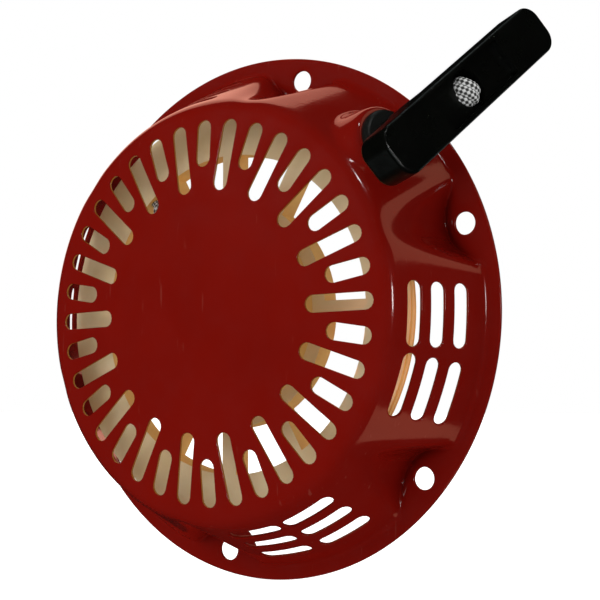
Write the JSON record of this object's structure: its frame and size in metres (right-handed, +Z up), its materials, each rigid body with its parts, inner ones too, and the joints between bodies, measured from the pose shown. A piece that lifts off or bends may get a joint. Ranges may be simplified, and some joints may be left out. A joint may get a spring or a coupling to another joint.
{
  "type": "recoil starter",
  "caption": "Recoil starter for a small engine: pressed slotted cover, rope reel with spiral spring and ratchets, and a T-shaped pull handle on a braided rope.",
  "frame": {"origin": "centre of the bolt circle, in the flange's mounting face", "axes": "+Y back towards the engine along the reel's axis, +X right and +Z up when looking at the cover's face"},
  "size_m": [0.2494, 0.0943, 0.2264],
  "materials": {
    "red_paint": "gloss",
    "post_steel": "satin",
    "ferrule_plastic": "satin",
    "clip_steel": "satin",
    "spring_steel": "satin",
    "natural_nylon": "satin",
    "rope": "braided",
    "handle_plastic": "satin",
    "seat_steel": "satin",
    "ratchet_steel": "satin",
    "wire_steel": "satin",
    "guide_steel": "zinc-plated satin",
    "bolt_steel": "zinc-plated satin"
  },
  "bodies": {
    "housing": {"starter_case": "red_paint", "center_post": "post_steel", "recoil_spring": "spring_steel", "rope_ferrule": "ferrule_plastic", "ferrule_clip": "clip_steel", "rope_run": "rope", "friction_spring": "wire_steel", "guide_collar": "post_steel", "thrust_washer": "seat_steel", "bolt_washer": "seat_steel", "center_bolt": "bolt_steel"},
    "reel": {"reel": "natural_nylon", "rope_winding": "rope", "reel_knot": "rope", "ratchet_spring_a": "wire_steel", "ratchet_spring_b": "wire_steel"},
    "guide": {"ratchet_guide": "guide_steel"},
    "ratchet_left": {"ratchet_b": "ratchet_steel"},
    "ratchet_right": {"ratchet_a": "ratchet_steel"},
    "rope": {"rope_lead": "rope", "handle_knot": "rope"},
    "handle": {"handle_grip": "handle_plastic", "knot_seat": "seat_steel"}
  },
  "joints": [
    {"name": "reel_spin", "type": "hinge", "parent": "housing", "child": "reel", "pos_m": [0, -0.02, 0], "axis": [0, 1, 0], "range_deg": [0, 884], "stiffness_Nm_per_rad": 0.02, "springref_deg": -1145.92},
    {"name": "rope_pull", "type": "slide", "parent": "housing", "child": "rope", "axis": [0.8984, -0.3827, 0.2157], "range_m": [0, 1.25]},
    {"name": "handle_twist", "type": "hinge", "parent": "rope", "child": "handle", "pos_m": [0.1174, -0.0416, 0.07591], "axis": [0.8984, -0.3827, 0.2157], "continuous": true},
    {"name": "guide_turn", "type": "hinge", "parent": "reel", "child": "guide", "pos_m": [0, 0.0008, 0], "axis": [0, 1, 0], "range_deg": [-25, 0], "stiffness_Nm_per_rad": 0.01},
    {"name": "ratchet_right_turn", "type": "hinge", "parent": "reel", "child": "ratchet_right", "pos_m": [0.024, -0.005, 0], "axis": [0, 1, 0], "range_deg": [-35, 0]},
    {"name": "ratchet_left_turn", "type": "hinge", "parent": "reel", "child": "ratchet_left", "pos_m": [-0.024, -0.005, 0], "axis": [0, 1, 0], "range_deg": [-35, 0]}
  ],
  "couplings": [
    {"joint": "rope_pull", "follows": "reel_spin", "m_per_rad": 0.081},
    {"joint": "ratchet_right_turn", "follows": "guide_turn", "ratio": 1.4},
    {"joint": "ratchet_left_turn", "follows": "guide_turn", "ratio": 1.4}
  ]
}
